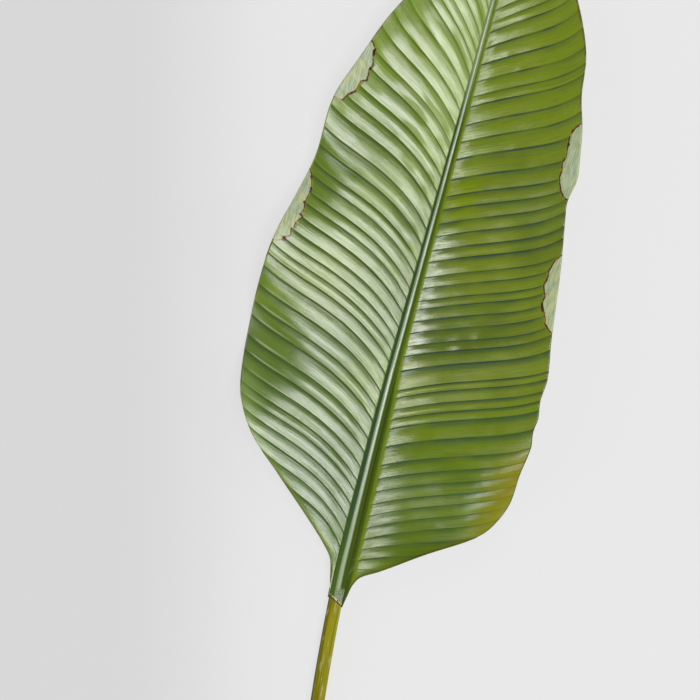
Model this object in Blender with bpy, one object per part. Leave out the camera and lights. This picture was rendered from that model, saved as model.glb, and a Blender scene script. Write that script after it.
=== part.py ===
"""A banana leaf as cut from the plant, laid on its back.

The blade, the midrib and the leaf stalk grew as one piece, so they are one closed body.
The leaf's own axis runs along +Y towards the tip, +X is to the right of the axis seen from
above, and +Z is up, out of the leaf's upper face. Lists of sizes are in millimetres, and
"along" is the distance from the blade's base, negative on the stalk.
"""

import math

import bpy

MM = 0.001

# Driving dimensions
BLADE_LENGTH = 612.0
STALK_LENGTH = 200.0
BLADE_THICKNESS = 0.8
PLEAT_DEPTH = 1.1
CROWN_PHASE = 0.6
CROWN_ROUNDNESS = 0.09
STALK_HALF_WIDTH = 5.7
STALK_HALF_HEIGHT = 5.4
LEAN = 0.20
DROOP_POWER = 5.0

# The margins: (along, distance out from the leaf's axis)
LEFT_MARGIN = [
    (4, 2.2), (20, 4.4), (28, 7), (36, 13.4), (52, 30.4), (84, 67.6), (106, 93), (132, 110),
    (156, 116.6), (200, 121), (244, 121.4), (268, 119), (300, 112), (336, 105.2), (372, 104.8),
    (390, 102.2), (420, 91.8), (452, 80.6), (472, 71.2), (500, 56.4), (528, 41.4), (556, 27),
    (582, 14), (602, 5.2), (612, 2.4),
]
RIGHT_MARGIN = [
    (-2, 13.2), (4, 14.2), (12, 16), (20, 20.6), (28, 33.4), (52, 66.2), (76, 102.4), (90, 113.4),
    (108, 120), (132, 120.8), (156, 123.2), (168, 121.4), (180, 122.2), (194, 120), (212, 120.8),
    (244, 115.2), (300, 107.2), (340, 100), (353, 98.2), (372, 101), (390, 98.2), (412, 93.8),
    (436, 86.6), (468, 81.6), (492, 72.4), (520, 57.4), (548, 40), (576, 21.4), (600, 6.4),
    (612, -0.8),
]

# Where the sunk creases between the pleats leave the midrib (along)
LEFT_CREASES = [
    25, 38.5, 50, 61.5, 73, 84.5, 92.5, 104, 116, 127.5, 142.5, 153, 166.5, 181, 192, 200.5,
    210, 220, 232, 243.5, 252.5, 265.5, 274.5, 288.5, 302, 319, 333, 345.5, 361, 373, 388, 401,
    416, 431, 440, 449.5, 461.5, 473, 486, 499, 512, 524, 536, 547, 558, 569, 579, 589,
]
RIGHT_CREASES = [
    23, 29.5, 37.5, 46, 55, 65, 75, 86, 95.5, 105, 123, 141, 157, 172, 186.5, 198, 206, 217,
    226.5, 236.5, 243.5, 254, 263, 276, 285.5, 297, 307.5, 319.5, 330.5, 344.5, 361.5, 375.5,
    389.5, 405, 413, 425.5, 439.5, 453, 466, 474, 484, 496, 508, 520, 531, 542, 553, 564, 575,
    586,
]

# How far towards the tip a pleat has climbed when it meets the margin: (along, climb)
LEFT_CLIMB = [
    (4, 0), (20, 4), (28, 23), (40, 42), (62, 52), (104, 54), (170, 58), (240, 58), (280, 56),
    (330, 59), (375, 60), (430, 61), (475, 52), (530, 42), (580, 20), (600, 7), (608, 2),
]
RIGHT_CLIMB = [
    (-2, 0), (20, 2), (24, 9), (30, 24), (38, 41), (54, 51), (86, 49), (172, 50), (286, 48),
    (390, 50), (460, 50), (530, 39), (580, 19), (600, 7), (608, 2),
]

# Heights of the margins' upper face over the surface that the leaf lies on
LEFT_MARGIN_HEIGHT = [
    (4, 10), (36, 14), (84, 24), (130, 26), (188, 1.25), (240, 27), (276, 28), (318, 15),
    (366, 26), (440, 24), (540, 18), (612, 12),
]
RIGHT_MARGIN_HEIGHT = [
    (-2, 10), (28, 13), (60, 16), (98, 1.35), (140, 20), (190, 28), (290, 28), (350, 24),
    (420, 25), (500, 19), (612, 12),
]

# The right half first sinks beside the midrib: (along, slope) and (along, width)
DIP_SLOPE = [
    (0, 0), (32, 0.42), (70, 0.42), (100, 0.24), (152, 0.42), (186, 0.26), (212, 0.42),
    (285, 0.42), (318, 0.22), (365, 0.40), (405, 0.24), (450, 0.42), (520, 0.25), (612, 0),
]
DIP_WIDTH = [(0, 20), (60, 22), (150, 18), (200, 11), (612, 9)]

# The midrib and the stalk: (along, size)
AXIS_BEND = [
    (-200, 29), (-140, 20.6), (-76, 12.7), (-36, 8.6), (-4, 6), (20, 4.4), (44, 3.6), (84, 2.4),
    (164, 0.4), (244, 0), (404, -0.8), (484, -1.6), (612, -2.2),
]
RIB_HALF_WIDTH = [(0, 6.4), (20, 6), (110, 4.6), (240, 3.6), (400, 2.6), (520, 1.8), (612, 1.0)]
RIB_HEIGHT = [
    (0, 10.4), (60, 8.8), (150, 7), (270, 5.4), (400, 4), (520, 2.8), (612, 1.8),
]
RIB_CROWN = [(0, 2.0), (110, 1.8), (270, 1.4), (612, 0.6)]
UNDERSIDE_HEIGHT = [
    (-200, 1.8), (-110, 2.6), (0, 2.2), (200, 1.6), (300, 1), (345, 0), (400, 0), (440, 1),
    (520, 4.5), (612, 9.2),
]

# Where the first and the last row of each half of the blade leave the midrib
LEFT_ROOTS = (6.0, 608.0)
RIGHT_ROOTS = (-1.0, 608.0)

# How finely the body is divided
PLEAT_STEPS = (0.0, 0.35, 0.65)
ACROSS_STEPS = (0.06, 0.14, 0.25, 0.45, 0.65, 0.85, 1.0)
RIB_ANGLES = (-80, -40, 0, 40, 80)
RIB_STEP = 14.0
STALK_TO_BLADE = (-6.0, 10.0)

LEAF_COLOUR = (0.13, 0.27, 0.05, 1.0)
LEAF_ROUGHNESS = 0.4


def smooth_step(low, high, value):
    """Rise gently from 0 at low to 1 at high."""
    t = min(max((value - low) / (high - low), 0.0), 1.0)
    return t * t * (3 - 2 * t)


def read_curve(points, at):
    """Height at one place of the smooth curve that passes through the points."""
    if at <= points[0][0]:
        return points[0][1]
    if at >= points[-1][0]:
        return points[-1][1]
    k = max(i for i, point in enumerate(points[:-1]) if point[0] <= at)

    def slope(i):
        """Tangent at a point, taken from its two neighbours."""
        before = points[max(i - 1, 0)]
        after = points[min(i + 1, len(points) - 1)]
        return (after[1] - before[1]) / (after[0] - before[0])

    (x0, y0), (x1, y1) = points[k], points[k + 1]
    span = x1 - x0
    t = (at - x0) / span
    rise = y0 * (1 + 2 * t) * (1 - t) ** 2 + y1 * (3 - 2 * t) * t ** 2
    bend = slope(k) * t * (1 - t) ** 2 - slope(k + 1) * (1 - t) * t ** 2
    return rise + bend * span


def underside_height(along):
    """Height of the midrib's and the stalk's lower face over the surface below."""
    return max(read_curve(UNDERSIDE_HEIGHT, along), 0.0)


def stalk_section(along, angle):
    """Upper and lower height of the round stalk at an angle from its crest."""
    middle = underside_height(along) + STALK_HALF_HEIGHT
    reach = STALK_HALF_HEIGHT * math.cos(math.radians(angle))
    return middle + reach, middle - reach


def rib_edge_height(along):
    """Height of the upper face where the blade leaves the midrib."""
    height = underside_height(along) + read_curve(RIB_HEIGHT, along)
    return height - read_curve(RIB_CROWN, along)


def rib_section(along, angle):
    """Upper and lower height of the midrib between the two halves of the blade."""
    edge = rib_edge_height(along)
    upper = edge + read_curve(RIB_CROWN, along) * math.cos(math.radians(angle))
    if abs(angle) == max(RIB_ANGLES):
        return edge, edge - BLADE_THICKNESS
    return upper, underside_height(along)


def rib_point(along, angle):
    """A point of the midrib or the stalk, with its upper and its lower height."""
    blade_share = smooth_step(*STALK_TO_BLADE, along)
    half_width = STALK_HALF_WIDTH
    if along > STALK_TO_BLADE[0]:
        rib_half = read_curve(RIB_HALF_WIDTH, along)
        half_width += (rib_half - STALK_HALF_WIDTH) * blade_share
    stalk = stalk_section(along, angle)
    rib = rib_section(along, angle)
    upper, lower = (s + (r - s) * blade_share for s, r in zip(stalk, rib))
    x = read_curve(AXIS_BEND, along) + half_width * math.sin(math.radians(angle))
    return x, along, upper, lower


def pleat_stops(side):
    """The creases of one half, with one more beyond each end of the blade's root."""
    creases = LEFT_CREASES if side < 0 else RIGHT_CREASES
    start, end = LEFT_ROOTS if side < 0 else RIGHT_ROOTS
    return [2 * start - creases[0]] + creases + [2 * end - creases[-1]]


def pleat_fullness(stops, along):
    """0 on a crease. A pleat rises evenly to a rounded crown and falls faster beyond it."""
    k = max(i for i, stop in enumerate(stops[:-1]) if stop <= along)
    phase = (along - stops[k]) / (stops[k + 1] - stops[k])
    rise = phase / CROWN_PHASE
    fall = (1 - phase) / (1 - CROWN_PHASE)
    spread = math.exp(-rise / CROWN_ROUNDNESS) + math.exp(-fall / CROWN_ROUNDNESS)
    return -CROWN_ROUNDNESS * math.log(spread)


def pleat_climb(side, across, along):
    """Share of its climb that a pleat has made at this share of the way to the margin."""
    early = (1 - math.exp(-across / 0.36)) / (1 - math.exp(-1 / 0.36))
    late = across ** 7
    if side < 0:
        straight = smooth_step(300, 430, along)
        return early * (0.6 - 0.32 * straight) + across * (0.3 + 0.32 * straight) + 0.1 * late
    return 0.12 * early + 0.68 * across + 0.2 * late


def blade_point(side, along, across):
    """A point of the blade: along is where its pleat leaves the midrib, and across runs
    from 0 at the midrib to 1 at the margin."""
    left = side < 0
    climb = read_curve(LEFT_CLIMB if left else RIGHT_CLIMB, along)
    margin_along = along + climb
    reach = read_curve(LEFT_MARGIN if left else RIGHT_MARGIN, margin_along)
    margin_height = read_curve(LEFT_MARGIN_HEIGHT if left else RIGHT_MARGIN_HEIGHT, margin_along)

    root_x, _, root_height, _ = rib_point(along, max(RIB_ANGLES) * side)
    width = max(abs(side * reach - root_x), 0.6)
    x = root_x + side * width * across
    y = along + climb * pleat_climb(side, across, along)

    out = width * across
    dip = 0.0
    if not left:
        dip_width = read_curve(DIP_WIDTH, along)
        depth = read_curve(DIP_SLOPE, along) * dip_width
        dip = depth * (1 - math.exp(-(out / dip_width) ** 2))
    drop = root_height + LEAN * width - margin_height
    height = root_height + LEAN * out - dip - (drop - dip) * across ** DROOP_POWER
    sunk = smooth_step(0.0, 0.14, across) * (1 - 0.4 * smooth_step(0.85, 1.0, across))
    sunk *= smooth_step(0.0, 30.0, width)
    height -= PLEAT_DEPTH * sunk * (1 - pleat_fullness(pleat_stops(side), along))
    return x, y, height, height - BLADE_THICKNESS


def pleat_rows(side):
    """Where the blade's rows leave the midrib: several to each pleat, one on each crease."""
    start, end = LEFT_ROOTS if side < 0 else RIGHT_ROOTS
    stops = pleat_stops(side)
    rows = [start, end]
    for low, high in zip(stops, stops[1:]):
        rows += [low + (high - low) * step for step in PLEAT_STEPS]
    return sorted(row for row in rows if start <= row <= end)


class Leaf:
    """Collects the upper face as columns of points that run along the leaf."""

    def __init__(self):
        self.upper = []
        self.lower = []
        self.triangles = []

    def add_point(self, point):
        x, y, upper, lower = point
        self.upper.append((x, y, upper))
        self.lower.append((x, y, lower))
        return len(self.upper) - 1

    def add_column(self, places, make_point):
        """A column is a list of (place along the leaf, point number)."""
        return [(place, self.add_point(make_point(place))) for place in places]

    def join(self, left, right):
        """Fill the strip between two columns, whose rows need not match."""
        i = j = 0
        while i < len(left) - 1 or j < len(right) - 1:
            step_left = j == len(right) - 1
            if i < len(left) - 1 and j < len(right) - 1:
                step_left = left[i + 1][0] <= right[j + 1][0]
            if step_left:
                self.triangles.append((left[i][1], right[j][1], left[i + 1][1]))
                i += 1
            else:
                self.triangles.append((left[i][1], right[j][1], right[j + 1][1]))
                j += 1

    def closed_faces(self):
        """The upper face, the same triangles on the lower face, and the wall round them."""
        count = len(self.upper)
        faces = list(self.triangles)
        faces += [(c + count, b + count, a + count) for a, b, c in self.triangles]
        edges = {(t[i], t[(i + 1) % 3]) for t in self.triangles for i in range(3)}
        for p, q in sorted(edges):
            if (q, p) not in edges:
                faces += [(q, p, p + count), (q, p + count, q + count)]
        return faces


def make_leaf_mesh():
    """Blade halves on both sides of the midrib, each divided along its own pleats."""
    leaf = Leaf()
    left_rows = pleat_rows(-1)
    right_rows = pleat_rows(1)
    length = STALK_LENGTH + BLADE_LENGTH
    rib_count = round(length / RIB_STEP)
    rib_rows = [length * i / rib_count - STALK_LENGTH for i in range(rib_count + 1)]

    columns = []
    for across in reversed(ACROSS_STEPS):
        columns.append(leaf.add_column(left_rows, lambda y: blade_point(-1, y, across)))
    for angle in RIB_ANGLES:
        places = rib_rows
        if angle == min(RIB_ANGLES):
            places = [y for y in rib_rows if y < left_rows[0] - 1] + left_rows
        if angle == max(RIB_ANGLES):
            places = [y for y in rib_rows if y < right_rows[0] - 1] + right_rows
        columns.append(leaf.add_column(places, lambda y: rib_point(y, angle)))
    for across in ACROSS_STEPS:
        columns.append(leaf.add_column(right_rows, lambda y: blade_point(1, y, across)))

    last_left = len(ACROSS_STEPS)
    last_rib = last_left + len(RIB_ANGLES) - 1
    for k, (left, right) in enumerate(zip(columns, columns[1:])):
        if k == last_left - 1:
            right = right[-len(left):]
        if k == last_rib:
            left = left[-len(right):]
        leaf.join(left, right)

    points = leaf.upper + leaf.lower
    middle_x = (min(p[0] for p in points) + max(p[0] for p in points)) / 2
    middle_y = (min(p[1] for p in points) + max(p[1] for p in points)) / 2
    placed = [((x - middle_x) * MM, (y - middle_y) * MM, z * MM) for x, y, z in points]

    mesh = bpy.data.meshes.new("banana_leaf")
    mesh.from_pydata(placed, [], leaf.closed_faces())
    mesh.validate()
    mesh.update()
    return mesh


def make_leaf_material():
    """Mid green of the upper face, softly glossy."""
    material = bpy.data.materials.new("leaf_green")
    material.use_nodes = True
    shader = material.node_tree.nodes["Principled BSDF"]
    shader.inputs["Base Color"].default_value = LEAF_COLOUR
    shader.inputs["Roughness"].default_value = LEAF_ROUGHNESS
    shader.inputs["Metallic"].default_value = 0.0
    return material


def main():
    """Build the leaf on its own in the scene."""
    for thing in list(bpy.data.objects):
        bpy.data.objects.remove(thing)
    mesh = make_leaf_mesh()
    mesh.materials.append(make_leaf_material())
    leaf = bpy.data.objects.new("banana_leaf", mesh)
    bpy.context.scene.collection.objects.link(leaf)


main()
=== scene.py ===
"""The looks of a banana leaf that lies on its back on a pale floor.

The leaf's solid is replaced by three fine pieces: the left and the right half of the blade and
the midrib with its stalk. Sizes are in millimetres on the leaf's own axes: "along" runs from
the blade's base to the tip and is negative on the stalk, and the axis lies at x = 0.
"""

import math

import bpy
import numpy as np
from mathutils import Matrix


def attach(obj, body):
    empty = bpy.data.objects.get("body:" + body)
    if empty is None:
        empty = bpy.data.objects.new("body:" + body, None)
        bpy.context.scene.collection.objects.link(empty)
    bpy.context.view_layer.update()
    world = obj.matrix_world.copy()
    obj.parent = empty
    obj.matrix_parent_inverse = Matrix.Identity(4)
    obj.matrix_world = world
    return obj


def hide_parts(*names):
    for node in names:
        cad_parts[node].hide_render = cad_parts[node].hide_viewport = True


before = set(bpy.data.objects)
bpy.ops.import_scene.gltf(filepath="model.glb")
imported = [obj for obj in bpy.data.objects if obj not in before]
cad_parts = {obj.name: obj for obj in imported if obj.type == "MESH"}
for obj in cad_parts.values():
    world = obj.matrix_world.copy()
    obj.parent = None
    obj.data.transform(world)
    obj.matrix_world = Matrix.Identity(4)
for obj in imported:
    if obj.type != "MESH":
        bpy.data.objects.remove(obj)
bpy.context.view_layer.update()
bpy.ops.object.select_all(action="DESELECT")

MM = 0.001

# Driving dimensions
BLADE_LENGTH = 612.0
STALK_LENGTH = 200.0
BLADE_THICKNESS = 0.6
STALK_HALF_WIDTH = 5.7
STALK_HALF_HEIGHT = 5.4

# The blade's halves rise from the midrib at this slope, and droop again towards the margin
LEAN = 0.20
DROOP_POWER = 5.0

# The pleats: (along, depth), where the crown lies between two creases, and how much both vary
LEFT_PLEAT_DEPTH = [
    (0, 0.75), (80, 1.0), (140, 1.3), (185, 1.1), (212, 0.9), (262, 1.0), (290, 1.5),
    (335, 1.5), (375, 1.0), (430, 0.8), (612, 0.6),
]
RIGHT_PLEAT_DEPTH = [(0, 0.8), (60, 0.9), (130, 1.2), (300, 1.2), (400, 1.0), (612, 0.7)]
CROWN_PHASE = 0.48
CROWN_ROUNDNESS = 0.24
CROWN_SPREAD = 0.12
DEPTH_SPREAD = 0.25
LEAF_SEED = 7

# Where the pleats fade, as shares of the way to the margin, and how flat they are at the margin,
# in the narrow ends of the blade (width) and in the pale patches (depth inside)
PLEAT_RISE = (0.0, 0.14)
PLEAT_FALL = (0.85, 1.0)
MARGIN_FLATNESS = 0.4
NARROW_WIDTHS = (0.0, 30.0)
PATCH_DEPTHS = (-1.0, 1.5)
PATCH_FLATNESS = 0.85

# Low swells all over the blade: (length, turn, shift), with a height for each millimetre of
# length, and the distance from the midrib over which they begin
SWELLS = ((46.0, 0.5, 0.0), (31.0, 1.9, 1.3), (23.0, 2.6, 4.0), (17.0, 1.2, 2.2))
SWELL_HEIGHT = 0.003
SWELL_DRIFT = 0.03
SWELL_RISE = (0.0, 12.0)

# The margins: (along, distance out from the leaf's axis)
LEFT_MARGIN = [
    (-2, 0.3), (6, 1.4), (20, 4.4), (28, 7), (36, 13.4), (52, 30.4), (84, 67.6), (106, 93),
    (132, 110), (156, 116.6), (200, 121), (244, 121.4), (268, 119), (300, 112), (336, 105.2),
    (372, 104.8), (390, 102.2), (420, 91.8), (452, 80.6), (472, 71.2), (500, 56.4), (528, 41.4),
    (556, 27), (582, 14), (602, 5.2), (612, 2.4),
]
RIGHT_MARGIN = [
    (-9, 11.8), (-5, 12.4), (-1, 13.1), (4, 14.2), (12, 16), (20, 20.6), (28, 33.4), (52, 66.2),
    (76, 102.4), (90, 113.4), (108, 120), (132, 120.8), (156, 123.2), (168, 121.4), (180, 122.2),
    (194, 120), (212, 120.8),
    (244, 115.2), (300, 107.2), (340, 100), (353, 98.2), (372, 101), (390, 98.2), (412, 93.8),
    (436, 86.6), (468, 81.6), (492, 72.4), (520, 57.4), (548, 40), (576, 21.4), (600, 6.4),
    (612, -0.8),
]

# Where the sunk creases between the pleats leave the midrib (along)
LEFT_CREASES = [
    25, 38.5, 50, 61.5, 73, 84.5, 92.5, 104, 116, 127.5, 142.5, 153, 166.5, 181, 192, 200.5,
    210, 220, 232, 243.5, 252.5, 265.5, 274.5, 288.5, 302, 319, 333, 345.5, 361, 373, 388, 401,
    416, 431, 440, 449.5, 461.5, 473, 486, 499, 512, 524, 536, 547, 558, 569, 579, 589,
]
RIGHT_CREASES = [
    23, 29.5, 37.5, 46, 55, 65, 74.5, 85, 95.5, 107, 122, 137, 144.5, 152.5, 162.5, 168.5, 185.5,
    198, 206, 217, 226.5, 236.5, 243.5, 254, 263, 276, 285.5, 297, 307.5, 319.5, 330.5, 344.5,
    361.5, 375.5, 389.5, 405, 413, 425.5, 439.5, 453, 466, 474, 484, 496, 508, 520, 531, 542, 553,
    564, 575, 586,
]

# How far towards the tip a pleat has climbed when it meets the margin: (along, climb)
LEFT_CLIMB = [
    (4, 0), (20, 4), (28, 23), (40, 42), (62, 52), (104, 54), (170, 58), (240, 58), (280, 56),
    (330, 59), (375, 60), (430, 61), (475, 52), (530, 42), (580, 20), (600, 7), (608, 2),
]
RIGHT_CLIMB = [
    (-2, 0), (20, 2), (24, 9), (30, 24), (38, 41), (54, 51), (86, 49), (172, 50), (286, 48),
    (390, 50), (460, 50), (530, 39), (580, 19), (600, 7), (608, 2),
]

# A climb's shares near the midrib, on the way and at the margin, first near the base and then
# towards the tip, and where along the leaf the first turns into the second
CLIMB_SHARES = {
    "left": ((0.6, 0.3, 0.1), (0.28, 0.62, 0.1)),
    "right": ((0.22, 0.66, 0.12), (0.12, 0.68, 0.2)),
}
CLIMB_CHANGE = {"left": (300.0, 430.0), "right": (165.0, 205.0)}
CLIMB_EARLY_WIDTH = 0.36
CLIMB_LATE_POWER = 7

# Heights of the margins' upper face over the floor
LEFT_MARGIN_HEIGHT = [
    (4, 10), (36, 14), (84, 24), (130, 26), (188, 1.25), (210, 15), (240, 27), (276, 28), (318, 15),
    (366, 26), (440, 24), (540, 18), (612, 12),
]
RIGHT_MARGIN_HEIGHT = [
    (-2, 10), (28, 13), (60, 16), (98, 1.35), (140, 20), (190, 28), (290, 28), (350, 24),
    (420, 25), (500, 19), (612, 12),
]

# The right half first sinks a little way out from the midrib: (along, start),
# (along, slope) and (along, width)
DIP_START = [(0, 6.5), (150, 6), (200, 3), (612, 2.5)]
DIP_SOFTNESS = 0.5
DIP_SLOPE = [
    (0, 0), (32, 0.42), (70, 0.42), (100, 0.24), (152, 0.42), (186, 0.26), (212, 0.42),
    (285, 0.42), (318, 0.22), (365, 0.40), (405, 0.24), (450, 0.42), (520, 0.25), (612, 0),
]
DIP_WIDTH = [(0, 20), (60, 22), (150, 18), (200, 11), (612, 9)]

# The midrib and the stalk: (along, size)
AXIS_BEND = [
    (-200, 29), (-140, 20.6), (-76, 12.7), (-36, 8.6), (-4, 6), (20, 4.4), (44, 3.6), (84, 2.4),
    (164, 0.4), (244, 0), (404, -0.8), (484, -1.6), (612, -2.2),
]
RIB_HALF_WIDTH = [(0, 6.0), (20, 5.9), (110, 4.6), (240, 3.6), (400, 2.6), (520, 1.8), (612, 1.0)]
RIB_HEIGHT = [
    (0, 10.4), (60, 8.8), (150, 7), (270, 5.4), (400, 4), (520, 2.8), (612, 1.8),
]
RIB_CROWN = [(0, 2.0), (110, 1.8), (270, 1.4), (612, 0.6)]
UNDERSIDE_HEIGHT = [
    (-200, 1.8), (-110, 2.6), (0, 2.2), (200, 1.6), (300, 1), (345, 0), (400, 0), (440, 1),
    (520, 4.5), (612, 9.2),
]

# Where the first and the last row of each half of the blade leave the midrib
LEFT_ROOTS = (-3.0, 608.0)
RIGHT_ROOTS = (-8.0, 608.0)
EDGE_ANGLE = 80.0
STALK_TO_BLADE = (-6.0, 10.0)

# How finely the pieces are divided
PLEAT_STEPS = (0.0, 0.04, 0.14, 0.3, 0.46, 0.64, 0.82, 0.95)
FIRST_ROW_STEP = 2.0
LEAST_WIDTH = 0.15
BLADE_COLUMNS = 98
RIB_ROWS = 420
RIB_ROW_PLACES = [(0, -STALK_LENGTH), (100, -14), (150, 11), (420, BLADE_LENGTH)]
RIB_SIDES = 48
WELD_DISTANCE = 0.00001

# The midrib's crest, in shares of its half width, its foot below the blade's face and its keel
CREST_HALF_WIDTH = 0.28
CREST_ROUNDNESS = 0.1
CREST_TIP = 0.25
FOOT_DEPTH = 0.3
CREST_RISE = 0.4
KEEL_POWER = 0.5

# The torn lip between the blade and the stalk
LIP_SLANT = 2.8
LIP_HEIGHT = 0.6
LIP_WIDTH = 0.8

# The bare pale patches: the line from the margin round each patch and back, (x, along)
PATCHES = {
    "left": [
        [(-92, 433), (-86, 434), (-82.6, 429), (-82, 422), (-80.4, 416), (-82.5, 412),
         (-82, 404), (-86.4, 401), (-87.2, 397), (-88.8, 392), (-92, 390), (-94.4, 387),
         (-96, 383), (-104, 383.6)],
        [(-110, 324), (-106, 322.4), (-103.6, 317), (-102, 311), (-102, 304), (-103.6, 295),
         (-102.4, 289), (-104.8, 286), (-102, 284), (-106, 279), (-105.6, 274), (-108.5, 273.6),
         (-107, 267), (-111.5, 265), (-110.4, 262), (-122, 260.5)],
    ],
    "right": [
        [(96, 416), (91.5, 415.2), (88.5, 409.6), (86.4, 405), (87, 397), (88, 387),
         (86.4, 381), (88, 376), (87.5, 369.6), (90.4, 361), (94, 356.5), (97, 354.4), (102, 353)],
        [(108, 312), (104.8, 309.6), (101.6, 304), (99, 295), (100, 288), (98, 285),
         (100, 279), (101.6, 274), (100.5, 269), (103, 264), (106.4, 259), (107.5, 254),
         (111, 250.4), (118, 247)],
    ],
}
FAR_AWAY = 1000.0
PAST_THE_MARGIN = {"left": -200, "right": 200}

# Shallow dents that catch the light: (x, along, radius, depth)
DENTS = [
    (50, 378, 7, 1.3), (47, 219, 7, 1.2), (92, 164, 5, 0.8), (23, 452, 5, 0.7), (35, 443, 5, 0.7),
    (60, 228, 5, 0.7), (-70, 330, 6, 0.5),
]


def smooth_step(low, high, value):
    """Rise gently from 0 at low to 1 at high."""
    t = np.clip((value - low) / (high - low), 0.0, 1.0)
    return t * t * (3 - 2 * t)


def read_curve(points, at):
    """Heights of the smooth curve through the points, read at each place."""
    xs, ys = (np.array(values, float) for values in zip(*points))
    at = np.clip(np.asarray(at, float), xs[0], xs[-1])
    before = np.maximum(np.arange(len(xs)) - 1, 0)
    after = np.minimum(np.arange(len(xs)) + 1, len(xs) - 1)
    slopes = (ys[after] - ys[before]) / (xs[after] - xs[before])
    k = np.clip(np.searchsorted(xs, at, side="right") - 1, 0, len(xs) - 2)
    span = xs[k + 1] - xs[k]
    t = (at - xs[k]) / span
    rise = ys[k] * (1 + 2 * t) * (1 - t) ** 2 + ys[k + 1] * (3 - 2 * t) * t ** 2
    bend = slopes[k] * t * (1 - t) ** 2 - slopes[k + 1] * (1 - t) * t ** 2
    return rise + bend * span


def axis_offset():
    """How far right of the leaf's axis the middle of its width lies."""
    along = np.linspace(0, BLADE_LENGTH, 2000)
    return (read_curve(RIGHT_MARGIN, along).max() - read_curve(LEFT_MARGIN, along).max()) / 2


OFFSET_X = axis_offset()
OFFSET_Y = (BLADE_LENGTH - STALK_LENGTH) / 2


def underside_height(along):
    """Height of the midrib's and the stalk's lower face over the floor."""
    return np.maximum(read_curve(UNDERSIDE_HEIGHT, along), 0.0)


def rib_half_width(along):
    """Half the width of the midrib, or of the stalk below it."""
    share = smooth_step(*STALK_TO_BLADE, along)
    return STALK_HALF_WIDTH + (read_curve(RIB_HALF_WIDTH, along) - STALK_HALF_WIDTH) * share


def rib_edge_height(along):
    """Height of the upper face where the blade leaves the midrib."""
    rib = underside_height(along) + read_curve(RIB_HEIGHT, along) - read_curve(RIB_CROWN, along)
    stalk = underside_height(along) + STALK_HALF_HEIGHT * (1 + math.cos(math.radians(EDGE_ANGLE)))
    return stalk + (rib - stalk) * smooth_step(*STALK_TO_BLADE, along)


def pleat_climb(side, across, along):
    """Share of its climb that a pleat has made at this share of the way to the margin."""
    early = (1 - np.exp(-across / CLIMB_EARLY_WIDTH)) / (1 - math.exp(-1 / CLIMB_EARLY_WIDTH))
    late = across ** CLIMB_LATE_POWER
    at_base, at_tip = (
        near * early + even * across + last * late for near, even, last in CLIMB_SHARES[side])
    return at_base + (at_tip - at_base) * smooth_step(*CLIMB_CHANGE[side], along)


def pleat_fullness(phase, crown):
    """0 on the creases. A pleat rises evenly to a rounded crown and falls faster beyond it."""
    rise = phase / crown
    fall = (1 - phase) / (1 - crown)
    spread = np.exp(-rise / CROWN_ROUNDNESS) + np.exp(-fall / CROWN_ROUNDNESS)
    return -CROWN_ROUNDNESS * np.log(spread)


def blade_rows(creases, start, end):
    """Where the rows leave the midrib, and which pleat each is on, with whole numbers on the
    creases. The long first pleat has close rows."""
    stops = [2 * start - creases[0]] + creases + [2 * end - creases[-1]]
    pairs = zip(stops, stops[1:])
    along = [low + (high - low) * step for low, high in pairs for step in PLEAT_STEPS]
    pleat = [k + step for k in range(len(stops) - 1) for step in PLEAT_STEPS]
    places = np.concatenate([along, np.arange(start, creases[0], FIRST_ROW_STEP), [end]])
    places = np.unique(places[(places >= start) & (places <= end)])
    return places, np.interp(places, along, pleat)


def blade_surface(side, along, pleat, across):
    """Points of the blade's upper face, and its width there. Rows run along and columns across."""
    left = side == "left"
    sign = -1 if left else 1
    climb = read_curve(LEFT_CLIMB if left else RIGHT_CLIMB, along)
    margin_along = along + climb
    reach = read_curve(LEFT_MARGIN if left else RIGHT_MARGIN, margin_along)
    margin_height = read_curve(LEFT_MARGIN_HEIGHT if left else RIGHT_MARGIN_HEIGHT, margin_along)

    root_x = read_curve(AXIS_BEND, along)
    root_x = root_x + sign * rib_half_width(along) * math.sin(math.radians(EDGE_ANGLE))
    width = np.maximum(np.abs(sign * reach - root_x), LEAST_WIDTH)
    x = root_x + sign * width * across
    y = along + climb * pleat_climb(side, across, along)

    root_height = rib_edge_height(along)
    out = width * across
    dip = np.zeros_like(out)
    if not left:
        dip_width = read_curve(DIP_WIDTH, along)
        beyond = (out - read_curve(DIP_START, along)) / DIP_SOFTNESS
        beyond = DIP_SOFTNESS * np.logaddexp(0, beyond)
        dip = read_curve(DIP_SLOPE, along) * dip_width * (1 - np.exp(-beyond / dip_width))
    drop = root_height + LEAN * width - margin_height
    height = root_height + LEAN * out - dip - (drop - dip) * across ** DROOP_POWER

    number = np.floor(pleat).astype(int)
    draw = np.random.default_rng(LEAF_SEED if left else LEAF_SEED + 1)
    crown = CROWN_PHASE + CROWN_SPREAD * draw.uniform(-1, 1, number.max() + 1)
    depth = read_curve(LEFT_PLEAT_DEPTH if left else RIGHT_PLEAT_DEPTH, along)
    depth = depth * (1 + DEPTH_SPREAD * draw.uniform(-1, 1, number.max() + 1))[number]
    hollow = depth * (1 - pleat_fullness(pleat - number, crown[number]))
    sunk = smooth_step(*PLEAT_RISE, across) * (1 - MARGIN_FLATNESS * smooth_step(*PLEAT_FALL, across))
    flat = PATCH_FLATNESS * smooth_step(*PATCH_DEPTHS, patch_depth(side, x, y))
    height = height - sunk * smooth_step(*NARROW_WIDTHS, width) * hollow * (1 - flat)
    height = height + gentle_swells(x, y) * smooth_step(*SWELL_RISE, out)
    for dent_x, dent_along, radius, dent_depth in DENTS:
        away = (x - dent_x) ** 2 + (y - dent_along) ** 2
        height = height - dent_depth * np.exp(-away / radius ** 2)
    return x, y, height, width


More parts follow.
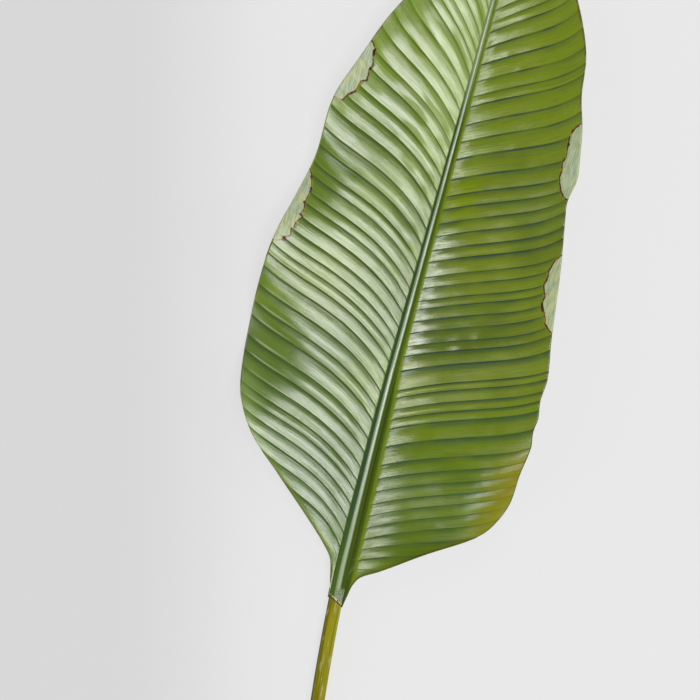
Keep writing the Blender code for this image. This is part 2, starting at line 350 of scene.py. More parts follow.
def gentle_swells(x, y):
    """Low swells that keep the blade from looking pressed."""
    swell = np.zeros_like(x)
    for length, turn, shift in SWELLS:
        line = x * math.cos(turn) + y * math.sin(turn)
        wave = np.sin(2 * math.pi * line / length + shift + SWELL_DRIFT * x)
        swell = swell + SWELL_HEIGHT * length * wave
    return swell


def distance_to_line(x, y, line):
    """Shortest distance from each point to an open line."""
    best = np.full(x.shape, FAR_AWAY)
    for (ax, ay), (bx, by) in zip(line, line[1:]):
        dx, dy = bx - ax, by - ay
        t = np.clip(((x - ax) * dx + (y - ay) * dy) / (dx * dx + dy * dy), 0, 1)
        best = np.minimum(best, np.hypot(x - ax - t * dx, y - ay - t * dy))
    return best


def patch_depth(side, x, y):
    """How deep inside a pale patch each point lies, negative outside."""
    depth = np.full(x.shape, -FAR_AWAY)
    beyond = PAST_THE_MARGIN[side]
    for line in PATCHES[side]:
        ring = line + [(beyond, line[-1][1]), (beyond, line[0][1])]
        inside = np.zeros(x.shape, bool)
        for (ax, ay), (bx, by) in zip(ring, ring[1:] + ring[:1]):
            crossed = (ay > y) != (by > y)
            run = (bx - ax) * (y - ay) / (by - ay if by != ay else 1) + ax
            inside ^= crossed & (x < run)
        distance = distance_to_line(x, y, line)
        depth = np.maximum(depth, np.where(inside, distance, -distance))
    return depth


def add_grid(name, columns, rows):
    """A flat grid, with the column and the row of each of its points."""
    bpy.ops.mesh.primitive_grid_add(x_subdivisions=columns, y_subdivisions=rows, size=2)
    piece = bpy.context.object
    piece.name = piece.data.name = name
    flat = np.empty(len(piece.data.vertices) * 3)
    piece.data.vertices.foreach_get("co", flat)
    flat = flat.reshape(-1, 3)
    column = np.rint((flat[:, 0] + 1) / 2 * columns).astype(int)
    row = np.rint((flat[:, 1] + 1) / 2 * rows).astype(int)
    return piece, column, row


def place_points(piece, x, y, z):
    """Move the piece's points to places on the leaf."""
    points = np.column_stack([(x - OFFSET_X) * MM, (y - OFFSET_Y) * MM, z * MM])
    piece.data.vertices.foreach_set("co", points.ravel())
    piece.data.update()


def note(piece, name, values):
    """Keep one number for each point of the piece, for its finish to read."""
    attribute = piece.data.attributes.new(name, "FLOAT", "POINT")
    attribute.data.foreach_set("value", np.asarray(values, np.float32).ravel())


def map_fibres(piece, out, along):
    """A UV map in decimetres: out from the midrib or round it, and along it."""
    layer = piece.data.uv_layers.active or piece.data.uv_layers.new(name="fibres")
    layer.name = "fibres"
    corners = np.empty(len(piece.data.loops), int)
    piece.data.loops.foreach_get("vertex_index", corners)
    pairs = np.column_stack([out[corners], along[corners]]) / 100
    layer.data.foreach_set("uv", pairs.ravel())


def apply_modifier(piece, kind, **settings):
    """Add one modifier and apply it."""
    bpy.context.view_layer.objects.active = piece
    modifier = piece.modifiers.new(kind.title(), kind)
    for key, value in settings.items():
        setattr(modifier, key, value)
    bpy.ops.object.modifier_apply(modifier=modifier.name)


def make_blade_half(side, finishes):
    """One half of the blade: a grid bent onto the pleats, then given its thickness."""
    left = side == "left"
    along, pleat = blade_rows(
        LEFT_CREASES if left else RIGHT_CREASES, *(LEFT_ROOTS if left else RIGHT_ROOTS))
    piece, column, row = add_grid(f"blade_{side}", BLADE_COLUMNS, len(along) - 1)
    share = column / BLADE_COLUMNS
    across = 1 - share if left else share
    x, y, z, width = blade_surface(side, along[row], pleat[row], across)
    place_points(piece, x, y, z)
    note(piece, "pleat", pleat[row])
    note(piece, "rim", width * (1 - across))
    note(piece, "patch", patch_depth(side, x, y))
    start = 0 if left else read_curve(DIP_START, along[row])
    note(piece, "past_strip", width * across - start)
    note(piece, "root", along[row])
    map_fibres(piece, width * across, along[row])
    for finish in finishes:
        piece.data.materials.append(finish)
    apply_modifier(
        piece, "SOLIDIFY", thickness=BLADE_THICKNESS * MM, offset=-1.0,
        material_offset=1, material_offset_rim=2)
    bpy.ops.object.shade_smooth()
    return piece


def crest_height(across):
    """Share of the midrib's crown: a narrow flat crest that tips right, between even flanks."""
    beyond = np.abs(across) - CREST_HALF_WIDTH
    fall = beyond + np.hypot(beyond, CREST_ROUNDNESS)
    crest = math.hypot(CREST_HALF_WIDTH, CREST_ROUNDNESS) - CREST_HALF_WIDTH
    edge = 1 - CREST_HALF_WIDTH + math.hypot(1 - CREST_HALF_WIDTH, CREST_ROUNDNESS)
    return 1 - (fall - crest) / (edge - crest) - CREST_TIP * across * (1 - across ** 2)


def make_midrib(finish):
    """The midrib and the stalk: a grid rolled into a tube, with both ends closed."""
    piece, column, row = add_grid("midrib_and_stalk", RIB_SIDES, RIB_ROWS)
    places = np.interp(np.arange(RIB_ROWS + 1), *zip(*RIB_ROW_PLACES))
    along = places[row]
    turn = 2 * math.pi * column / RIB_SIDES
    upper = np.cos(turn) >= -1e-9
    share = smooth_step(*STALK_TO_BLADE, along)
    low = underside_height(along)
    half = rib_half_width(along)

    stalk_z = low + STALK_HALF_HEIGHT * (1 + np.cos(turn))
    edge = rib_edge_height(along) - FOOT_DEPTH
    crown = edge + (read_curve(RIB_CROWN, along) + CREST_RISE) * crest_height(np.sin(turn))
    keel = edge + (low - edge) * np.abs(np.cos(turn)) ** KEEL_POWER
    rib_z = np.where(upper, crown, keel)
    x = read_curve(AXIS_BEND, along) + half * np.sin(turn)
    past = along + LIP_SLANT * (np.sin(turn) + 1)
    lip = LIP_HEIGHT * np.exp(-(past / LIP_WIDTH) ** 2) * np.clip(np.cos(turn) * 3, 0, 1)
    place_points(piece, x, along, stalk_z + (rib_z - stalk_z) * share + lip)
    note(piece, "along", along)
    note(piece, "turn", np.sin(turn) * np.where(upper, 1, 0))
    map_fibres(piece, half * turn, along)

    bpy.ops.object.mode_set(mode="EDIT")
    bpy.ops.mesh.select_all(action="SELECT")
    bpy.ops.mesh.remove_doubles(threshold=WELD_DISTANCE)
    bpy.ops.mesh.select_all(action="DESELECT")
    bpy.ops.mesh.select_non_manifold()
    bpy.ops.mesh.edge_face_add()
    bpy.ops.mesh.select_all(action="SELECT")
    bpy.ops.mesh.normals_make_consistent(inside=False)
    bpy.ops.object.mode_set(mode="OBJECT")
    piece.data.materials.append(finish)
    bpy.ops.object.shade_smooth()
    return piece


class Finish:
    """A material, with short ways to add the nodes that its pattern needs."""

    def __init__(self, name):
        self.material = bpy.data.materials.new(name)
        self.material.use_nodes = True
        self.tree = self.material.node_tree
        self.shader = self.tree.nodes["Principled BSDF"]

    def node(self, kind, **settings):
        """Add one node."""
        made = self.tree.nodes.new(kind)
        for key, value in settings.items():
            setattr(made, key, value)
        return made

    def feed(self, socket, value):
        """Link a pattern to a socket, or set the socket's own value."""
        if isinstance(value, bpy.types.NodeSocket):
            self.tree.links.new(value, socket)
        else:
            socket.default_value = value

    def give(self, key, value):
        """Give the shader a pattern or a plain value."""
        self.feed(self.shader.inputs[key], value)

    def noted(self, name):
        """A number that was kept for each point."""
        return self.node("ShaderNodeAttribute", attribute_name=name).outputs["Fac"]

    def math(self, operation, *values):
        """One sum of patterns or numbers."""
        made = self.node("ShaderNodeMath", operation=operation)
        for socket, value in zip(made.inputs, values):
            self.feed(socket, value)
        return made.outputs[0]

    def times(self, first, *others):
        """Multiply patterns or numbers."""
        for other in others:
            first = self.math("MULTIPLY", first, other)
        return first

    def scaled(self, value, factor, start):
        """The value times the factor, plus the start."""
        return self.math("MULTIPLY_ADD", value, factor, start)

    def apart(self, value, middle):
        """How far the value lies above or below the middle."""
        return self.math("ABSOLUTE", self.math("SUBTRACT", value, middle))

    def jagged(self, value, noise, size):
        """The value, shifted up and down by the noise."""
        return self.math("ADD", value, self.times(self.math("SUBTRACT", noise, 0.5), size))

    def ramp(self, value, low, high):
        """Rise gently from 0 to 1 between two values, or fall if low is above high."""
        made = self.node("ShaderNodeMapRange", interpolation_type="SMOOTHSTEP")
        ends = (low, high, 0.0, 1.0) if low < high else (high, low, 1.0, 0.0)
        self.feed(made.inputs["Value"], value)
        for key, end in zip(("From Min", "From Max", "To Min", "To Max"), ends):
            made.inputs[key].default_value = end
        return made.outputs["Result"]

    def fade(self, name, low, high):
        """A ramp over a kept number."""
        return self.ramp(self.noted(name), low, high)

    def band(self, name, rise, fall):
        """1 between a rise and a fall over a kept number, and 0 outside."""
        return self.times(self.fade(name, *rise), self.fade(name, *fall))

    def blend(self, share, first, second):
        """Mix two colours."""
        made = self.node("ShaderNodeMix", data_type="RGBA")
        self.feed(made.inputs["Factor"], share)
        for key, value in (("A", first), ("B", second)):
            socket = next(s for s in made.inputs if s.name == key and s.type == "RGBA")
            self.feed(socket, (*value, 1.0) if isinstance(value, tuple) else value)
        return next(s for s in made.outputs if s.type == "RGBA")

    def noise(self, source, scale, detail=3.0, stretch=(1.0, 1.0, 1.0)):
        """Soft noise on the object's own coordinates or its fibre map."""
        if source == "fibres":
            vector = self.node("ShaderNodeUVMap", uv_map="fibres").outputs["UV"]
        else:
            vector = self.node("ShaderNodeTexCoord").outputs["Object"]
        mapping = self.node("ShaderNodeMapping")
        mapping.inputs["Scale"].default_value = stretch
        self.feed(mapping.inputs["Vector"], vector)
        made = self.node("ShaderNodeTexNoise")
        made.inputs["Scale"].default_value = scale
        made.inputs["Detail"].default_value = detail
        self.feed(made.inputs["Vector"], mapping.outputs["Vector"])
        return made.outputs["Fac"]

    def height(self, value, strength, distance):
        """Let a pattern stand out of the surface."""
        made = self.node("ShaderNodeBump")
        made.inputs["Strength"].default_value = strength
        made.inputs["Distance"].default_value = distance
        self.feed(made.inputs["Height"], value)
        self.feed(self.shader.inputs["Normal"], made.outputs["Normal"])


# Colours of the blade
# The left half's greens are lighter than the right half's: painted light on the left half, which
# faces the key light, with a more saturated own green on the right
LIT_HALF_GREENS = ((0.135, 0.225, 0.012), (0.230, 0.340, 0.018))
SHADED_HALF_GREENS = ((0.118, 0.176, 0.004), (0.215, 0.285, 0.004))
# The tip green below is painted light: towards the tip the right half is painted a brighter yellow
# green
LIT_TIP_GREEN = (0.235, 0.320, 0.002)
# This green paints shade on the pleats' falling sides, and also colours the veins and fibres
SHADE_AND_VEIN_GREEN = (0.070, 0.125, 0.028)
# The crease greens are painted shade; the right one's bluish tint is a painted reflection
CREASE_SHADED_GREEN = {"left": (0.062, 0.112, 0.018), "right": (0.042, 0.080, 0.055)}
RIM_GREEN = (0.270, 0.390, 0.090)
# This light green is the left margin's own line, and also a painted highlight just past each crease
MARGIN_AND_HIGHLIGHT_GREEN = (0.330, 0.420, 0.060)
COOL_GREEN = (0.080, 0.165, 0.035)
# A painted highlight: a pale band just past the creases on the left half, low down
PAST_CREASE_HIGHLIGHT_GREEN = (0.430, 0.520, 0.260)
RIPE_YELLOW = (0.300, 0.260, 0.002)
# A painted sheen: the pale light green by the midrib towards the tip
SHEEN_GREEN = (0.420, 0.560, 0.150)
STRIP_GREEN = (0.170, 0.250, 0.008)
BACK_GREENS = ((0.15, 0.23, 0.07), (0.23, 0.31, 0.12))
PATCH_BLUE = (0.50, 0.59, 0.36)
PATCH_YELLOW = (0.58, 0.63, 0.31)
PATCH_FIBRE = (0.25, 0.34, 0.20)
OCHRE = (0.480, 0.300, 0.020)
RED_BROWN = (0.110, 0.035, 0.012)
DARK_BROWN = (0.045, 0.012, 0.018)
OLIVE_RIM = (0.110, 0.130, 0.030)
MARGIN_TONES = {"left": (MARGIN_AND_HIGHLIGHT_GREEN, OLIVE_RIM), "right": (OLIVE_RIM, RED_BROWN)}
EDGE_BROWNS = ((0.10, 0.05, 0.02), (0.22, 0.20, 0.03))

# Colours of the midrib and the stalk
# The flank colours paint shade on the midrib's flanks, the left one's teal as a painted reflection;
# the crest colour is a painted highlight
FLANK_SHADED_TEAL = (0.045, 0.098, 0.042)
CREST_HIGHLIGHT_GREEN = (0.260, 0.350, 0.175)
FLANK_SHADED_GREEN = (0.062, 0.102, 0.006)
TIP_RIB_GREEN = (0.330, 0.420, 0.170)
BASE_FLANK_SHADED_GREEN = (0.075, 0.150, 0.020)
# The lighter olive also paints the stalk's lit right side, the stalk shade paints shade down its
# left, and the pale colour paints highlight streaks
STALK_OLIVES = ((0.175, 0.145, 0.0), (0.340, 0.320, 0.004))
STALK_HIGHLIGHT = (0.480, 0.440, 0.160)
STALK_SHADE = (0.090, 0.070, 0.010)
LIP_CREAM = (0.720, 0.680, 0.450)
SCAR_GREY = (0.320, 0.390, 0.230)
SCAR_DARK = (0.060, 0.070, 0.030)

# The waxy skin: its gloss, and how far its fibres stand out, in metres
LEAF_IOR = 1.6
STREAK_STRETCH = (1.2, 60.0, 1.0)
BLADE_FIBRE_HEIGHT = 0.0004
RIB_FIBRE_HEIGHT = 0.0006

# Where the painted shade line before a crease begins on the pleat, and how strongly that line and the
# painted shade on the pleat's falling side show: (change towards the tip, strength at the base)
LINE_START = {"left": 0.80, "right": 0.87}
LINE_DEPTH = {"left": (-0.1, 0.7), "right": (0.05, 0.9)}
FALL_DEPTH = {"left": (-0.6, 0.85), "right": (-0.35, 0.72)}

# In the finishes below, a fade or a band gives places in millimetres: along the leaf for "root",
# in from the margin for "rim", into a pale patch for "patch", and for "past_strip" out from the
# midrib on the left half and from the start of the dip on the right. On "pleat" it counts pleats.


def crease_lines(f, side):
    """The place on the pleat, and how strongly the dark line of the nearest crease shows."""
    phase = f.math("FRACT", f.noted("pleat"))
    before = f.times(f.ramp(phase, LINE_START[side], 0.955), f.fade("pleat", 0.99, 1.0))
    return phase, f.math("MAXIMUM", before, f.ramp(phase, 0.035, 0.01))


def dull_corner(f):
    """Where the base of the right half loses its gloss: low down and well out, in soft patches."""
    low = f.fade("root", 160.0, 125.0)
    far = f.fade("past_strip", 10.0, 28.0)
    patchy = f.ramp(f.noise("object", 24.0, 2.0), 0.62, 0.5)
    return f.times(low, far, f.scaled(patchy, 0.6, 0.4))


def dull_lenses(f):
    """Long worn places on the left half, mostly near the tip, that shine less."""
    lens = f.ramp(f.noise("fibres", 1.0, 1.0, (2.6, 9.0, 1.0)), 0.5, 0.6)
    return f.times(lens, f.scaled(f.fade("root", 270.0, 350.0), 0.75, 0.25))


def pale_base_rim(f):
    """Where the left half is paler: near the base, along the margin."""
    return f.times(f.fade("rim", 30.0, 3.0), f.fade("root", 125.0, 90.0))


def left_tones(f, body, phase):
    """Cooler at the base, a painted sheen by the midrib near the tip, and painted highlights just
    past a crease.
    """
    body = f.blend(f.times(f.fade("root", 190.0, 70.0), 0.45), body, COOL_GREEN)
    body = f.blend(f.times(pale_base_rim(f), 0.75), body, RIM_GREEN)
    # Painted sheen by the midrib towards the tip, held back on the worn lenses that shine less
    tipward = f.times(f.fade("root", 230.0, 430.0), f.fade("past_strip", 60.0, 2.0))
    tipward = f.times(tipward, f.scaled(dull_lenses(f), -0.8, 1.0))
    body = f.blend(tipward, body, SHEEN_GREEN)
    # Painted highlights just past each crease: a thin light line, and a pale band low down, some way
    # in from the margin
    thin = f.times(f.ramp(phase, 0.10, 0.05), f.ramp(f.noise("fibres", 9.0), 0.5, 0.65))
    body = f.blend(f.times(thin, 0.5), body, MARGIN_AND_HIGHLIGHT_GREEN)
    low_down = f.band("root", (95.0, 115.0), (180.0, 160.0))
    crown = f.times(f.ramp(f.apart(phase, 0.09), 0.09, 0.03), low_down)
    crown = f.times(crown, f.fade("rim", 45.0, 20.0), f.fade("rim", 3.0, 12.0))
    return f.blend(f.times(crown, 0.7), body, PAST_CREASE_HIGHLIGHT_GREEN)


def right_tones(f, body):
    """Cooler at the base, ripe yellow at its corner, a bare strip beside the midrib, and painted
    shade between the midrib and that strip.
    """
    body = f.blend(f.times(f.fade("root", 170.0, 110.0), 0.3), body, COOL_GREEN)
    ripe = f.times(f.fade("rim", 34.0, 2.0), f.fade("root", 20.0, 55.0), f.fade("root", 120.0, 85.0))
    body = f.blend(f.times(ripe, 0.75), body, RIPE_YELLOW)
    body = f.blend(f.fade("past_strip", 0.5, -1.5), body, STRIP_GREEN)
    return f.blend(f.fade("past_strip", -1.6, -4.6), body, FLANK_SHADED_GREEN)


def add_veins(f, body):
    """Thin dark veins and fine fibres along the pleats."""
    vein = f.noise("fibres", 1.0, 1.0, (0.7, 24.0, 1.0))
    body = f.blend(f.times(f.ramp(f.apart(vein, 0.5), 0.014, 0.0), 0.35), body, SHADE_AND_VEIN_GREEN)
    fine = f.noise("fibres", 1.0, 3.0, (5.0, 150.0, 1.0))
    return f.blend(f.times(f.ramp(fine, 0.5, 0.72), 0.35), body, SHADE_AND_VEIN_GREEN)


def shade_falling_side(f, side, body, phase, tip):
    """Paint shade on each pleat from its middle to the next crease."""
    fall = f.times(f.ramp(phase, 0.5, 0.95), f.scaled(tip, *FALL_DEPTH[side]))
    if side == "left":
        fall = f.times(fall, f.scaled(pale_base_rim(f), -0.6, 1.0))
    else:
        blotch = f.ramp(f.noise("object", 26.0, 3.0), 0.36, 0.6)
        fall = f.times(fall, f.scaled(blotch, 0.9, 0.5))
    return f.blend(f.times(fall, f.fade("pleat", 0.9, 1.1)), body, SHADE_AND_VEIN_GREEN)


def paint_crease_shade(f, side, body, line, tip):
    """Painted shade in the creases, with a painted bluish reflection on the right half, fainter in
    places and towards the margin.
    """
    shown = f.scaled(tip, *LINE_DEPTH[side])
    faint = f.ramp(f.noise("fibres", 1.0, 1.0, (4.0, 9.0, 1.0)), 0.62, 0.4)
    shown = f.times(shown, f.scaled(faint, 0.6, 0.4))
    shown = f.times(shown, f.scaled(f.fade("rim", 2.0, 26.0), 0.7, 0.3))
    if side == "right":
        shown = f.times(shown, f.scaled(dull_corner(f), -0.55, 1.0))
    return f.blend(f.times(line, shown), body, CREASE_SHADED_GREEN[side])


def pleat_colour(f, side, streak):
    """Green with soft clouds and streaks, and painted shade down each pleat to its crease."""
    left = side == "left"
    phase, line = crease_lines(f, side)
    deep_green, light_green = LIT_HALF_GREENS if left else SHADED_HALF_GREENS
    clouds = f.ramp(f.noise("object", 11.0, 3.0), 0.36, 0.64)
    body = f.blend(clouds, deep_green, light_green)
    body = f.blend(f.times(f.ramp(streak, 0.4, 0.7), 0.3), body, light_green)
    # Painted light: both halves turn a lighter yellow green towards the tip
    tip = f.fade("root", 270.0, 400.0)
    body = f.blend(f.times(tip, 0.75), body, light_green if left else LIT_TIP_GREEN)
    if left:
        body = left_tones(f, body, phase)
    body = add_veins(f, body)
    body = shade_falling_side(f, side, body, phase, tip)
    body = paint_crease_shade(f, side, body, line, tip)
    return body if left else right_tones(f, body)


def patch_colour(f, body, ragged):
    """Pale bare patches with fibres along the margin, behind a brown line with ochre flecks."""
    depth = f.jagged(f.noted("patch"), ragged, 2.0)
    fibres = f.noise("object", 1.0, 4.0, (700.0, 90.0, 1.0))
    clouds = f.noise("object", 90.0, 2.0)
    pale = f.blend(f.ramp(clouds, 0.4, 0.62), PATCH_BLUE, PATCH_YELLOW)
    pale = f.blend(f.times(f.ramp(fibres, 0.42, 0.62), 0.6), pale, PATCH_FIBRE)
    flecks = f.ramp(f.noise("object", 170.0, 1.0), 0.5, 0.58)
    colour = f.blend(f.times(f.ramp(depth, -2.0, -1.2), 0.7), body, SHADED_HALF_GREENS[1])
    colour = f.blend(f.ramp(depth, -1.1, -0.7), colour, f.blend(flecks, RED_BROWN, OCHRE))
    colour = f.blend(f.ramp(depth, 0.1, 0.5), colour, pale)
    swell = f.scaled(f.ramp(f.noise("object", 150.0, 1.0), 0.54, 0.68), 1.2, 0.2)
    line = f.ramp(f.math("SUBTRACT", swell, f.apart(depth, -0.2)), -0.25, 0.15)
    return f.blend(line, colour, f.blend(f.ramp(clouds, 0.45, 0.55), DARK_BROWN, RED_BROWN))


def margin_colour(f, side, body, ragged):
    """A thin line at the very margin: light green and olive on the left, olive and brown on
    the right."""
    rim = f.jagged(f.noted("rim"), ragged, 1.0)
    patchy = f.ramp(f.noise("object", 35.0, 2.0), 0.42, 0.6)
    return f.blend(f.times(f.ramp(rim, 1.3, 0.5), 0.85), body, f.blend(patchy, *MARGIN_TONES[side]))


def upper_shine(f, side, fine):
    """How strongly each place on the upper face mirrors the light. The creases stay dull."""
    line = crease_lines(f, side)[1]
    shine = f.times(f.math("SUBTRACT", 1.0, line), f.scaled(fine, 0.8, 0.5))
    if side == "left":
        return f.times(shine, f.scaled(dull_lenses(f), -0.75, 1.15))
    strip = f.fade("past_strip", 0.5, -1.5)
    bright = f.band("root", (165.0, 195.0), (302.0, 288.0))
    bright = f.times(bright, f.fade("past_strip", 27.0, 12.0))
    dim = f.band("root", (296.0, 306.0), (350.0, 338.0))
    dim = f.times(dim, f.fade("past_strip", 32.0, 14.0))
    shine = f.times(shine, f.scaled(strip, -0.8, 1.0), f.scaled(dull_corner(f), -0.85, 1.0))
    return f.times(shine, f.scaled(bright, 0.65, 1.0), f.scaled(dim, -0.75, 1.0))


def upper_face_finish(side):
    """Waxy green with creased pleats, fine fibres, pale patches and a thin line at the margin."""
    f = Finish(f"upper_face_{side}")
    streak = f.noise("fibres", 1.0, 4.0, STREAK_STRETCH)
    fine = f.noise("fibres", 1.0, 2.0, (8.0, 240.0, 1.0))
    ragged = f.noise("object", 260.0)
    body = margin_colour(f, side, pleat_colour(f, side, streak), ragged)
    f.give("Base Color", patch_colour(f, body, ragged))

    worn = f.ramp(f.noise("object", 22.0, 3.0), 0.45, 0.75)
    bare = f.fade("patch", -0.5, 1.0)
    rough = f.scaled(streak, 0.14, 0.17)
    rough = f.math("ADD", rough, f.times(worn, 0.10))
    rough = f.math("ADD", rough, f.times(bare, 0.25))
    f.give("Roughness", rough)
    f.give("IOR", LEAF_IOR)
    f.give("Specular IOR Level", upper_shine(f, side, fine))
    f.height(f.math("ADD", f.times(fine, 0.6), streak), 0.5, BLADE_FIBRE_HEIGHT)
    return f.material


def lower_face_finish():
    """The paler, duller back of the blade."""
    f = Finish("lower_face")
    streak = f.noise("fibres", 1.0, 4.0, STREAK_STRETCH)
    f.give("Base Color", f.blend(streak, *BACK_GREENS))
    f.give("Roughness", 0.55)
    f.height(streak, 0.25, BLADE_FIBRE_HEIGHT)
    return f.material


def edge_finish():
    """The thin dry edge of the blade."""
    f = Finish("blade_edge")
    f.give("Base Color", f.blend(f.noise("object", 60.0), *EDGE_BROWNS))
    f.give("Roughness", 0.6)
    return f.material


def rib_colour(f, along, turn, specks, scar):
    """Painted shade on the flanks, bluish as a painted reflection on the left, and a painted
    highlight on the crest; the flanks turn pale green towards the tip, with a scar at the base.
    """
    tipward = f.ramp(along, 380.0, 450.0)
    left = f.blend(f.ramp(along, 110.0, 10.0), FLANK_SHADED_TEAL, BASE_FLANK_SHADED_GREEN)
    left = f.blend(f.times(tipward, 0.9), left, TIP_RIB_GREEN)
    right = f.blend(f.times(tipward, 0.75), FLANK_SHADED_GREEN, TIP_RIB_GREEN)
    shifted = f.scaled(f.ramp(along, 60.0, 200.0), 0.14, turn)
    rib = f.blend(f.ramp(shifted, -0.24, -0.40), CREST_HIGHLIGHT_GREEN, left)
    rib = f.blend(f.ramp(turn, 0.24, 0.42), rib, right)
    pale_foot = f.times(f.ramp(turn, 0.78, 0.95), f.ramp(along, 150.0, 200.0))
    rib = f.blend(pale_foot, rib, STRIP_GREEN)
    return f.blend(scar, rib, f.blend(f.ramp(specks, 0.32, 0.52), SCAR_DARK, SCAR_GREY))


def stalk_colour(f, turn, streak):
    """Olive yellow with long streaks, painted lighter on its right side, with painted shade down its
    left side and painted highlight streaks.
    """
    stalk = f.blend(f.ramp(streak, 0.38, 0.66), *STALK_OLIVES)
    stalk = f.blend(f.times(f.ramp(turn, 0.1, 0.9), 0.5), stalk, STALK_OLIVES[1])
    stalk = f.blend(f.ramp(turn, -0.62, -0.95), stalk, STALK_SHADE)
    highlight_streaks = f.ramp(f.noise("fibres", 1.0, 2.0, (22.0, 5.0, 1.0)), 0.56, 0.66)
    return f.blend(f.times(highlight_streaks, 0.6), stalk, STALK_HIGHLIGHT)


def midrib_finish():
    """The green midrib with its glossy crest, and the stalk behind a torn cream lip."""
    f = Finish("midrib")
    along = f.noted("along")
    turn = f.noted("turn")
    streak = f.noise("fibres", 1.0, 4.0, (60.0, 1.5, 1.0))
    specks = f.noise("object", 900.0, 2.0)
    scar = f.times(f.ramp(along, 8.0, 4.0), f.ramp(turn, -0.25, 0.1))
    past = f.jagged(along, f.noise("object", 300.0, 2.0), 3.0)
    past = f.math("ADD", f.scaled(turn, LIP_SLANT, LIP_SLANT), past)
    rib = rib_colour(f, along, turn, specks, scar)
    colour = f.blend(f.ramp(past, 0.3, -0.3), rib, stalk_colour(f, turn, streak))
    cream = f.times(f.ramp(f.apart(past, 0.0), 0.9, 0.5), f.ramp(specks, 0.42, 0.55))
    colour = f.blend(cream, colour, LIP_CREAM)
    under = f.ramp(f.apart(past, -1.6), 0.9, 0.4)
    f.give("Base Color", f.blend(f.times(under, 0.8), colour, SCAR_DARK))

    crest = f.times(f.ramp(f.apart(turn, 0.0), 0.34, 0.16), f.ramp(along, 4.0, 8.0))
    crest = f.times(crest, f.scaled(f.ramp(along, 20.0, 160.0), 0.65, 0.35))
    f.give("Specular IOR Level", f.scaled(crest, 1.0, 0.12))
    f.give("Roughness", f.scaled(crest, -0.15, 0.4))
    f.give("IOR", LEAF_IOR)
    f.height(f.math("ADD", streak, f.times(scar, specks)), 0.35, RIB_FIBRE_HEIGHT)
    return f.material


# The floor: its grey, and the little light of its own, which rises from the picture's left
FLOOR_SIZE = 8.0
FLOOR_GREY = (0.14, 0.14, 0.14, 1.0)
FLOOR_GLOW = 0.57
FLOOR_GLOW_RISE = 0.12
FLOOR_GLOW_PLACES = (-0.24, -0.07)

# The camera: millimetres of leaf in a pixel, the picture's middle and turn, and a long lens
PIXEL = 0.8
PICTURE_PIXELS = 700
PICTURE_WIDTH = PICTURE_PIXELS * PIXEL * MM
VIEW_CENTRE = (-36.8, 192.2)
VIEW_TURN = math.atan(0.2795)
LEAF_MIDDLE_HEIGHT = 0.012
LENS = 200.0
SENSOR = 36.0

# The lights, in metres and watts: the fills stand at the right, top, left and bottom of the
# picture, and the room gives a little light from all sides
KEY_POWER = 46.0
KEY_PLACE = (0.88, -0.42, 3.0)
KEY_SIZE = (2.2, 1.2)
FILL_POWERS = (13.0, 9.0, 14.0, 10.0)
FILL_REACH = 2.0
FILL_HEIGHT = 0.95
FILL_SIZE = (2.0, 1.2)
ROOM_COLOUR = (0.95, 0.97, 1.0, 1.0)
ROOM_STRENGTH = 0.12
LEAF_CENTRE = (0.0, 0.0, 0.0)


def floor_finish():
    """Plain pale grey, lit a little from within, as a light table, so that shadows stay faint."""
    f = Finish("pale_floor")
    f.give("Base Color", FLOOR_GREY)
    f.give("Roughness", 0.9)
    f.give("Specular IOR Level", 0.0)
    f.give("Emission Color", (1.0, 1.0, 1.0, 1.0))
    place = f.node("ShaderNodeSeparateXYZ")
    f.feed(place.inputs[0], f.node("ShaderNodeTexCoord").outputs["Object"])
    across = f.math("ADD", place.outputs["X"], f.times(place.outputs["Y"], math.tan(VIEW_TURN)))
    rise = f.times(f.ramp(across, *FLOOR_GLOW_PLACES), FLOOR_GLOW_RISE)
    f.give("Emission Strength", f.math("ADD", rise, FLOOR_GLOW))
    return f.material


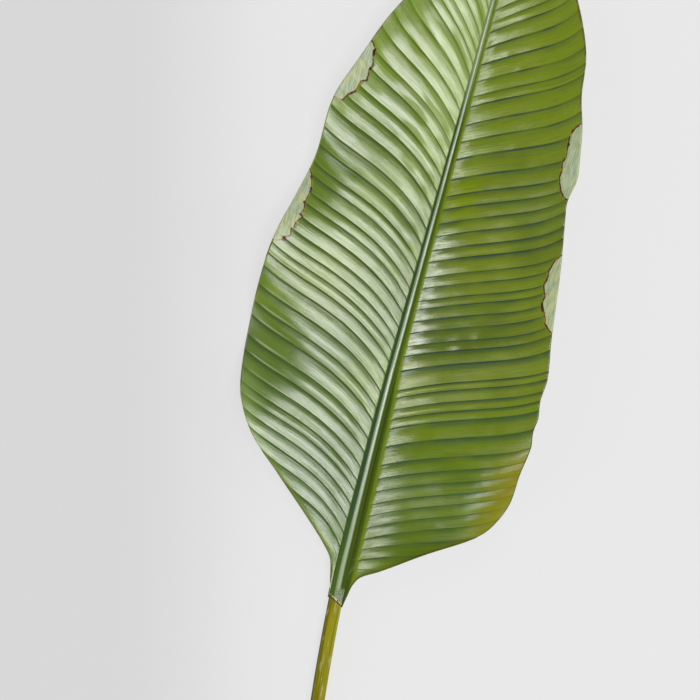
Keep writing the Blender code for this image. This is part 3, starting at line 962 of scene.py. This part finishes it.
def make_camera():
    """Straight down, turned so that the leaf leans as in the picture."""
    data = bpy.data.cameras.new("camera")
    data.lens = LENS
    data.sensor_width = SENSOR
    camera = bpy.data.objects.new("camera", data)
    height = PICTURE_WIDTH * LENS / SENSOR
    x, y = VIEW_CENTRE
    camera.location = ((x - OFFSET_X) * MM, (y - OFFSET_Y) * MM, height + LEAF_MIDDLE_HEIGHT)
    camera.rotation_euler = (0.0, 0.0, VIEW_TURN)
    bpy.context.scene.collection.objects.link(camera)
    bpy.context.scene.camera = camera


def add_softbox(name, place, size, power, mirrored=True):
    """A soft rectangular light, aimed at the leaf. The leaf mirrors it or not."""
    data = bpy.data.lights.new(name, "AREA")
    data.shape = "RECTANGLE"
    data.size, data.size_y = size
    data.energy = power
    light = bpy.data.objects.new(name, data)
    light.location = place
    direction = light.location.copy()
    direction.x, direction.y, direction.z = (a - p for a, p in zip(LEAF_CENTRE, place))
    light.rotation_euler = direction.to_track_quat("-Z", "Y").to_euler()
    light.visible_camera = False
    light.visible_glossy = mirrored
    bpy.context.scene.collection.objects.link(light)


def make_lights():
    """One soft light up to the right, low soft fills all round, and a dim pale room."""
    add_softbox("key_softbox", KEY_PLACE, KEY_SIZE, KEY_POWER)
    for k, power in enumerate(FILL_POWERS):
        turn = math.radians(90 * k)
        place = (FILL_REACH * math.cos(turn), FILL_REACH * math.sin(turn), FILL_HEIGHT)
        add_softbox(f"fill_softbox_{k}", place, FILL_SIZE, power, mirrored=False)
    world = bpy.data.worlds.new("studio")
    bpy.context.scene.world = world
    world.use_nodes = True
    background = world.node_tree.nodes["Background"]
    background.inputs["Color"].default_value = ROOM_COLOUR
    background.inputs["Strength"].default_value = ROOM_STRENGTH


def make_floor():
    """A large plain floor under the leaf."""
    bpy.ops.mesh.primitive_plane_add(size=FLOOR_SIZE)
    floor = bpy.context.object
    floor.name = floor.data.name = "floor"
    floor.data.materials.append(floor_finish())


def main():
    """Make the leaf's three pieces, the floor, the camera and the lights."""
    lower, edge = lower_face_finish(), edge_finish()
    pieces = [
        make_blade_half(side, (upper_face_finish(side), lower, edge)) for side in ("left", "right")
    ]
    pieces.append(make_midrib(midrib_finish()))
    for piece in pieces:
        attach(piece, "root")
        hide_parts("banana_leaf")
    make_floor()
    make_camera()
    make_lights()
    bpy.context.scene.view_settings.view_transform = "Standard"


main()
